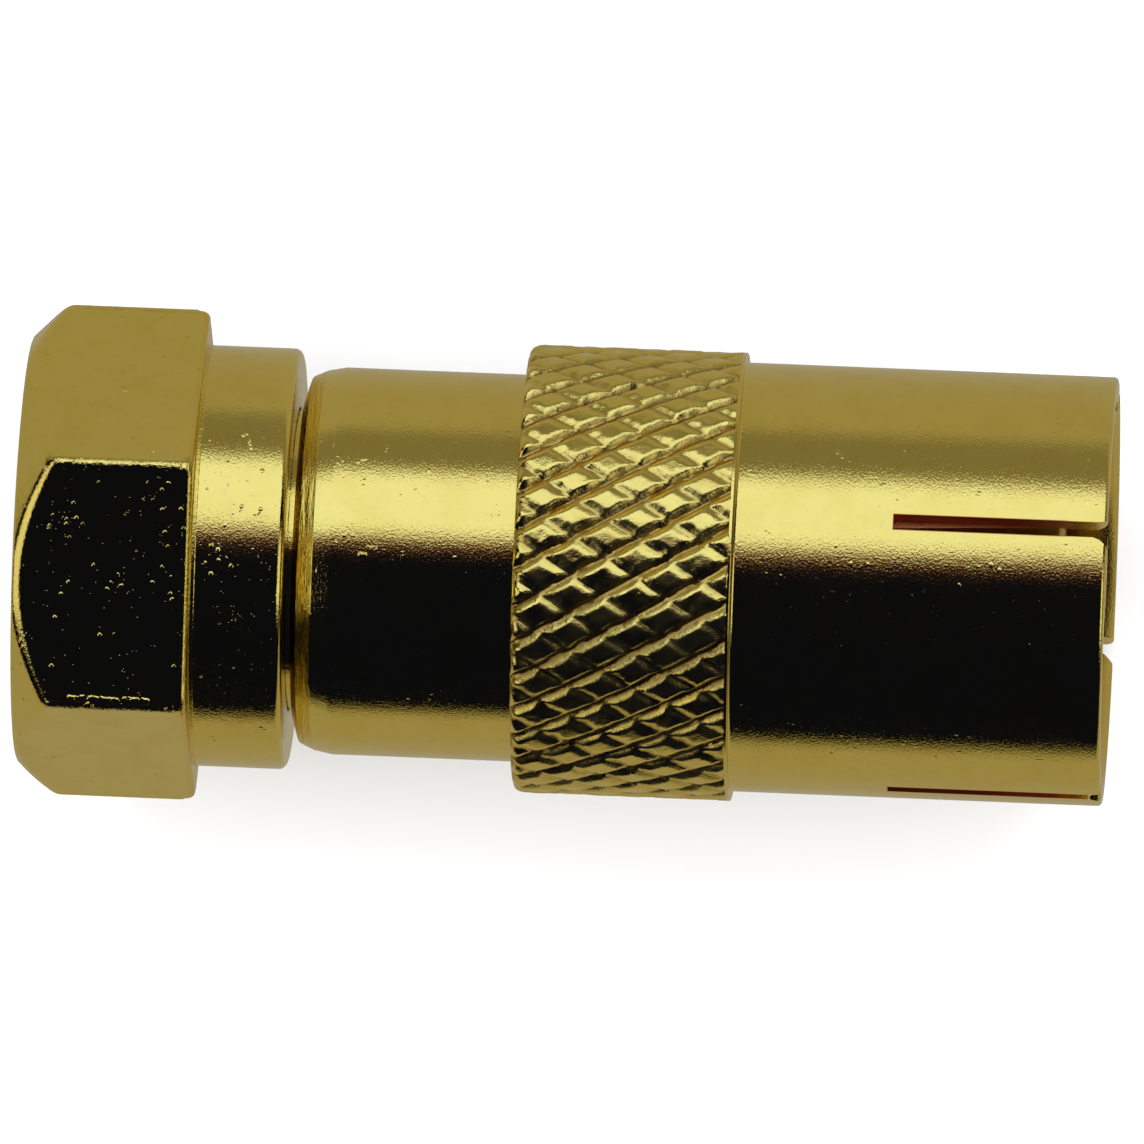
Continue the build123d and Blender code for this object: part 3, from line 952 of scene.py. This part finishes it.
def soft_light(name, azimuth, elevation, distance, width, height, radiance, colour):
    """Rectangular soft box that faces the adapter, with its width level."""
    lamp = bpy.data.lights.new(name, "AREA")
    lamp.shape = "RECTANGLE"
    lamp.size = width
    lamp.size_y = height
    lamp.color = colour
    lamp.energy = radiance * pi * width * height
    box = bpy.data.objects.new(name, lamp)
    direction = toward(azimuth, elevation)
    box.matrix_world = Matrix.Translation(CENTRE + direction * distance) @ (
        direction.to_track_quat("Z", "Y").to_matrix().to_4x4()
    )
    box.visible_camera = False
    bpy.context.scene.collection.objects.link(box)
    return box


def mirrored_only(sheet):
    """Hides a sheet from everything but mirror-like surfaces."""
    sheet.visible_camera = False
    sheet.visible_diffuse = False
    sheet.visible_shadow = False


def shine_card(name, azimuth, elevation, distance, width, height, radiance, colour):
    """Plain glowing card that only mirror-like surfaces see."""
    across, up = width / 2, height / 2
    corners = [(-across, -up, 0), (across, -up, 0), (across, up, 0), (-across, up, 0)]
    mesh = bpy.data.meshes.new(name)
    mesh.from_pydata(corners, [], [(0, 1, 2, 3)])
    mesh.materials.append(glowing(name, colour, radiance))
    card = bpy.data.objects.new(name, mesh)
    direction = toward(azimuth, elevation)
    card.matrix_world = Matrix.Translation(CENTRE + direction * distance) @ (
        direction.to_track_quat("Z", "Y").to_matrix().to_4x4()
    )
    mirrored_only(card)
    bpy.context.scene.collection.objects.link(card)


def make_stage():
    """Pale table, pale surroundings, one large soft box, two side boxes and the cards that metal mirrors."""
    table = disc("table", 2.0, FLOOR_HEIGHT, table_top("table_white", (0.92, 0.92, 0.92)))
    table.visible_glossy = False
    shade = disc("table_mirrored", 2.0, FLOOR_HEIGHT + 0.00001, glowing("table_dim", (1.0, 0.92, 0.72), 0.40))
    shade.location.y = -1.9
    mirrored_only(shade)
    world = bpy.data.worlds.new("surroundings")
    bpy.context.scene.world = world
    world.use_nodes = True
    sky = world.node_tree.nodes["Background"]
    sky.inputs["Color"].default_value = (1.0, 1.0, 1.0, 1.0)
    sky.inputs["Strength"].default_value = 1.30
    world.cycles_visibility.glossy = False
    soft_light("main_box", 90, 45, 0.6, 0.9, 0.437, 1.19, (0.90, 1.02, 1.35))
    fill = soft_light("fill_box", 90, 40, 0.8, 1.2, 0.8, 1.0, (1.0, 1.0, 1.0))
    fill.visible_glossy = False
    soft_light("left_box", 182, 36, 0.6, 0.35, 0.42, 0.9, (1.0, 1.0, 1.0))
    soft_light("right_box", -2, 36, 0.6, 0.35, 0.42, 0.9, (1.0, 1.0, 1.0))
    shine_card("wall_card", 90, 10.0, 0.8, 3.0, 0.46, 0.24, (1.0, 0.95, 0.78))
    shine_card("lamp_glow", 90, 67.6, 0.8, 3.0, 0.09, 0.17, (1.0, 0.40, 0.50))
    shine_card("ceiling_card", 270, 62, 1.2, 4.0, 3.6, 0.022, (0.20, 0.25, 1.0))


def make_camera():
    """Long lens almost straight above, turned a little so that the socket end is nearer and lower."""
    around, yaw, roll = radians(98.9), radians(2.6), radians(2.3)
    back = Vector((sin(yaw), -cos(yaw) * cos(around), cos(yaw) * sin(around)))
    along = (Vector((1, 0, 0)) - back * back.x).normalized()
    above = back.cross(along)
    right = along * cos(roll) + above * sin(roll)
    up = above * cos(roll) - along * sin(roll)
    target = Vector((9.007, 0, 0)) / METRE - up * 0.047 / METRE
    lens = bpy.data.cameras.new("camera")
    lens.sensor_width = 36.0
    distance, view_width = 0.75, 29.07 / METRE
    lens.lens = lens.sensor_width * distance / view_width
    lens.clip_start = 0.05
    lens.clip_end = 10.0
    camera = bpy.data.objects.new("camera", lens)
    turn = Matrix((right, up, back)).transposed().to_4x4()
    camera.matrix_world = Matrix.Translation(target + back * distance) @ turn
    bpy.context.scene.collection.objects.link(camera)
    bpy.context.scene.camera = camera


make_camera()
make_stage()
nut_spots = (
    (-3.6, 1.6, 5.5, 0.65), (-1.3, 2.4, 5.5, 0.5), (-1.0, 1.3, 5.5, 0.45),
    (0.2, 0.7, 5.3, 0.6), (0.5, -0.6, 5.3, 0.5), (-2.2, 0.2, 5.5, 0.5),
)
nut_burrs = ((-3.4, -1.3, -2.9),)
hex_end = (HEX_BACK - 0.10, HEX_BACK + 0.10, 16.0, 1.0)
hex_corner = HALF_ACROSS_FLATS / cos(pi / 6)
make_nut(gold_plating(
    "nut_gold", pits=14.0, spots=nut_spots, coarse=hex_end, corners=hex_corner, burrs=nut_burrs
))
shoulder_turned = (SHOULDER + 0.1, SHOULDER_CREASE - 0.02, 60.0, 0.07)
barrel_spots = ((3.6, 1.4, 4.7, 0.5),)
barrel_burrs = ((3.8, 4.05, 0.95), (4.0, 4.3, 1.1))
make_front_body(gold_plating(
    "barrel_gold", lay=1.0, spots=barrel_spots, coarse=shoulder_turned, burrs=barrel_burrs
))
make_rear_shell(gold_plating("shell_gold", lay=1.0, pits=5.0, groove=True))
contact_gold = gold_plating("contact_gold", peel=1.5, lay=1.5, pits=0.0, roughness=0.3, tarnish=0.7)
make_pin(contact_gold)
make_contact(contact_gold)
make_insulators(white_insulator("insulator_white"))
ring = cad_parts["retaining_ring"]
ring.data.materials.clear()
ring.data.materials.append(spring_bronze("ring_bronze"))
bpy.context.scene.view_settings.view_transform = "Standard"
